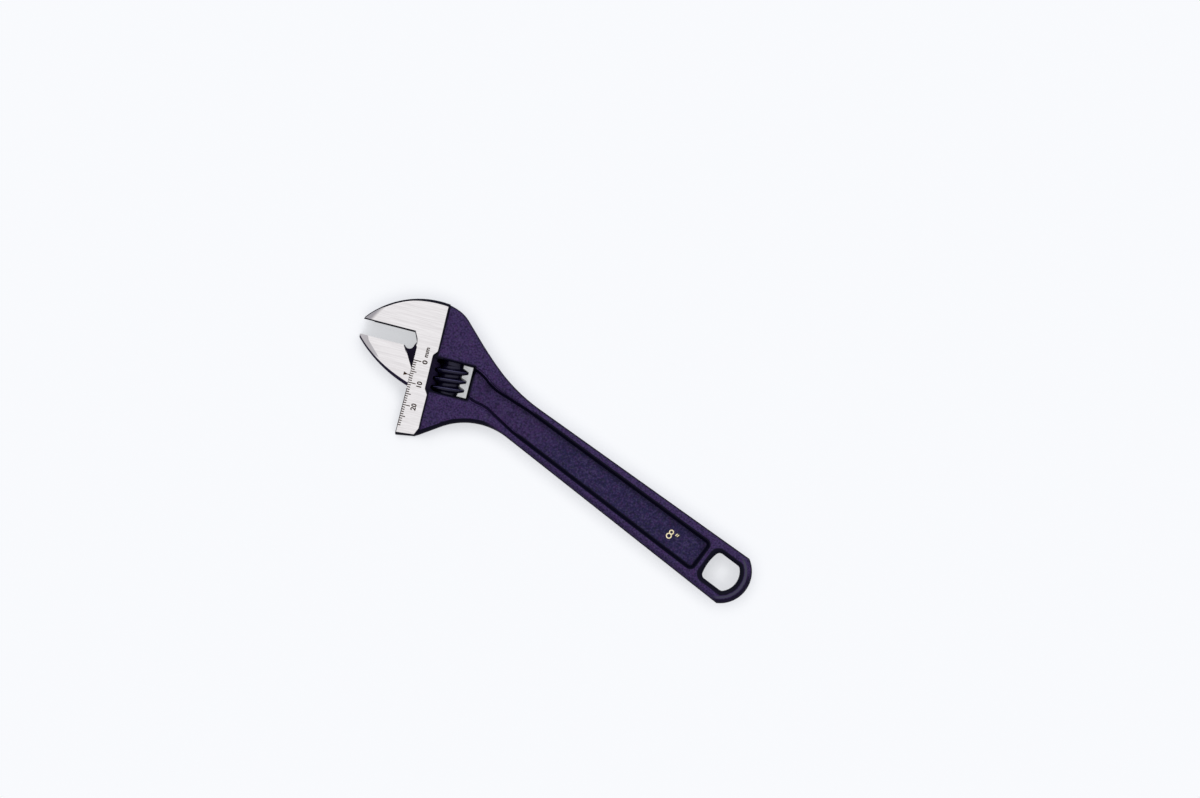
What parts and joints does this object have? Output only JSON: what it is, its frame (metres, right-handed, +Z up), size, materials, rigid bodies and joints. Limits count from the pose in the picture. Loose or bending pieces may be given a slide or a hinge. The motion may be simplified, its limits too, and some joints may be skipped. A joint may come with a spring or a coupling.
{
  "type": "adjustable wrench",
  "caption": "Adjustable wrench with a black forged handle, bright ground head, fixed jaw, and a sliding jaw driven by a worm that meshes with its rack.",
  "frame": {"origin": "on the lower ground face of the head, where the handle's centre line crosses the guide bore's axis", "axes": "+X along the handle to its hang hole, +Z up through the thickness, the jaws open 22.5 degrees off -Y"},
  "size_m": [0.2045, 0.0598, 0.0146],
  "materials": {
    "black_forging": "black satin oxide on the forged handle, ground bright on the cheeks and jaw",
    "ground_steel": "ground bright, fine grain",
    "black_steel": "black satin oxide",
    "pin_steel": "plain turned steel",
    "spring_steel": "drawn wire"
  },
  "bodies": {
    "body": {"body": "black_forging", "worm_pin": "pin_steel"},
    "jaw": {"moving_jaw": "ground_steel"},
    "worm": {"worm": "black_steel", "worm_spring": "spring_steel"}
  },
  "joints": [
    {"name": "jaw_slide", "type": "slide", "parent": "body", "child": "jaw", "axis": [0.3827, -0.9239, 0], "range_m": [-0.00665, 0.0193]},
    {"name": "worm_spin", "type": "hinge", "parent": "body", "child": "worm", "pos_m": [0.01279, -0.00332, 0.0073], "axis": [-0.3827, 0.9239, 0], "range_deg": [-615, 1775]}
  ],
  "couplings": [
    {"joint": "worm_spin", "follows": "jaw_slide", "rad_per_m": 1598.8}
  ]
}
